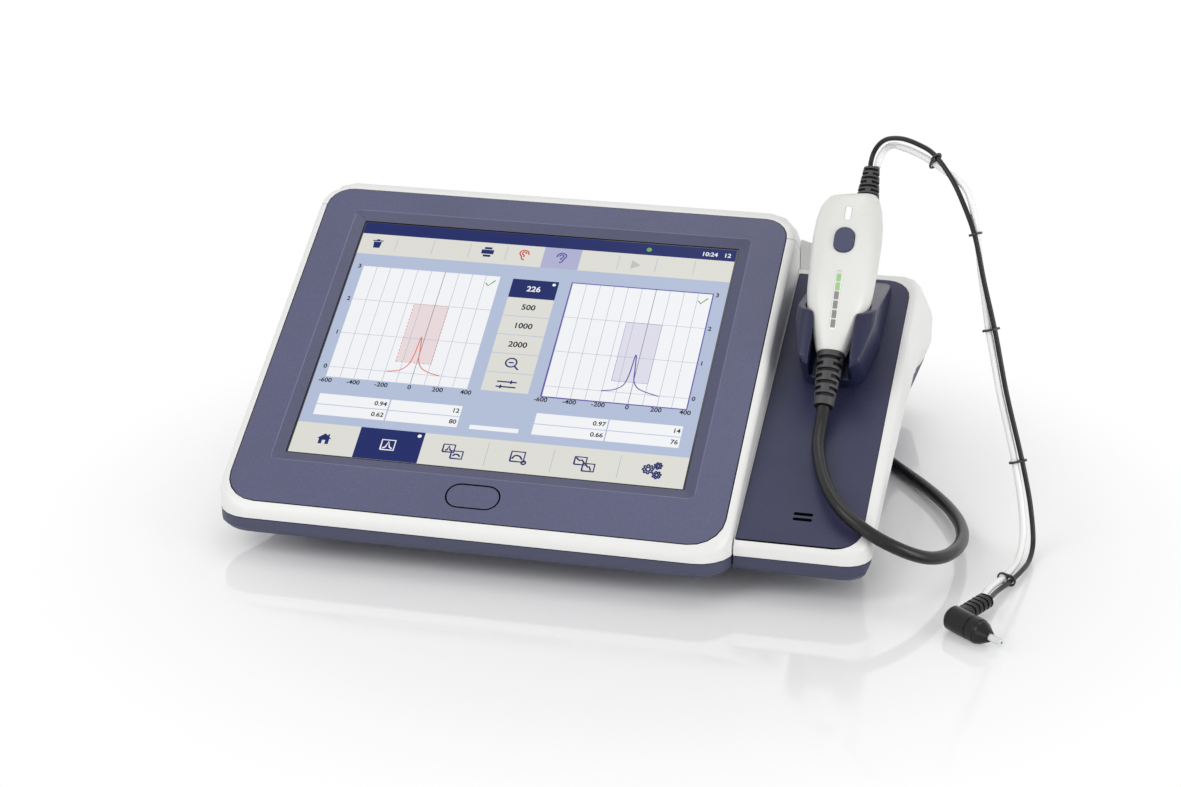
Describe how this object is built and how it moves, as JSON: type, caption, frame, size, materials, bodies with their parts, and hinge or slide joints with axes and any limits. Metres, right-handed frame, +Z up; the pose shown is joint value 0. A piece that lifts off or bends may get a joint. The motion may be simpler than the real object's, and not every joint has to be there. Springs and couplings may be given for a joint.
{
  "type": "desktop tympanometer",
  "caption": "Desk-top ear tester: wedge housing with tilted touch screen, side wing with a cradle for a hand-held probe box, and a thin lead with air tube down to the ear-probe tip.",
  "frame": {"origin": "under the middle of the housing (main unit with its wing), on the table", "axes": "+X to the user's right, +Y back from the user, +Z up"},
  "size_m": [0.4115, 0.4558, 0.1932],
  "materials": {
    "white_plastic": "fine satin",
    "blue_plastic": "fine grain, matte",
    "cradle_plastic": "satin",
    "panel_glass": "glossy glass over a lit display",
    "plate_steel": "plain",
    "screw_steel": "satin",
    "board_green": "solder resist",
    "black_plastic": "satin",
    "black_rubber": "matte",
    "grey_metal": "satin",
    "paper_white": "paper, matte",
    "light_pipe": "translucent",
    "level_pipe": "translucent, lit segments",
    "clear_plastic": "clear",
    "clear_tube": "clear, soft"
  },
  "bodies": {
    "main": {"air_pump": "black_plastic", "bottom_shell": "blue_plastic", "coil_tie": "black_plastic", "connector_plate": "black_plastic", "data_port": "grey_metal", "display_bracket": "plate_steel", "foot_1": "black_rubber", "foot_2": "black_rubber", "foot_3": "black_rubber", "foot_4": "black_rubber", "foot_screw_1": "screw_steel", "foot_screw_2": "screw_steel", "foot_screw_3": "screw_steel", "foot_screw_4": "screw_steel", "front_bezel": "blue_plastic", "front_frame": "white_plastic", "lcd_module": "grey_metal", "lid_hinge_pin": "screw_steel", "loudspeaker": "black_plastic", "main_board": "board_green", "paper_bin": "black_plastic", "plug_boot": "black_rubber", "power_inlet": "black_plastic", "power_switch": "black_plastic", "print_head": "grey_metal", "probe_cable_coil": "black_rubber", "probe_cable_front": "black_rubber", "probe_cable_rear": "black_rubber", "probe_cradle": "cradle_plastic", "probe_plug": "black_plastic", "probe_socket": "grey_metal", "pump_hose": "clear_tube", "rear_cover": "white_plastic", "touch_glass": "panel_glass", "valve_block": "grey_metal", "wing_base": "blue_plastic", "wing_frame": "white_plastic", "wing_inlay": "blue_plastic"},
    "probe": {"air_tube": "clear_tube", "lead_clip_1": "black_plastic", "lead_clip_2": "black_plastic", "lead_clip_3": "black_plastic", "lead_clip_4": "black_plastic", "lead_clip_5": "black_plastic", "level_light": "level_pipe", "lower_boot": "black_rubber", "probe_back_shell": "white_plastic", "probe_board": "board_green", "probe_front_shell": "white_plastic", "status_light": "light_pipe", "tip_elbow": "black_plastic", "tip_lead": "black_rubber", "tip_nozzle": "clear_plastic", "upper_boot": "black_rubber"},
    "power_button": {"power_button": "blue_plastic"},
    "lid": {"printer_lid": "white_plastic"},
    "platen": {"platen_roller": "black_rubber"},
    "paper": {"paper_roll": "paper_white"},
    "probe_key": {"probe_button": "blue_plastic"},
    "cap": {"tip_cap": "black_plastic"}
  },
  "joints": [
    {"name": "power_press", "type": "slide", "parent": "main", "child": "power_button", "axis": [0, 0.4909, -0.8712], "range_m": [0, 0.001], "stiffness_N_per_m": 400, "springref_m": -0.001},
    {"name": "lid_hinge", "type": "hinge", "parent": "main", "child": "lid", "pos_m": [-0.0339, 0.11174, 0.09824], "axis": [-1, 0, 0], "range_deg": [0, 85]},
    {"name": "platen_spin", "type": "hinge", "parent": "lid", "child": "platen", "pos_m": [-0.0339, 0.07523, 0.11937], "axis": [1, 0, 0], "continuous": true},
    {"name": "paper_spin", "type": "hinge", "parent": "main", "child": "paper", "pos_m": [-0.0339, 0.08111, 0.09371], "axis": [1, 0, 0], "continuous": true},
    {"name": "probe_lift", "type": "slide", "parent": "main", "child": "probe", "axis": [0, 0.7071, 0.7071], "range_m": [0, 0.12]},
    {"name": "probe_press", "type": "slide", "parent": "probe", "child": "probe_key", "axis": [0, 0.7071, -0.7071], "range_m": [0, 0.001], "stiffness_N_per_m": 300, "springref_m": -0.001},
    {"name": "cap_turn", "type": "hinge", "parent": "probe", "child": "cap", "pos_m": [0.2124, -0.1402, 0.0065], "axis": [0.766, -0.6428, 0], "range_deg": [0, 360]}
  ]
}
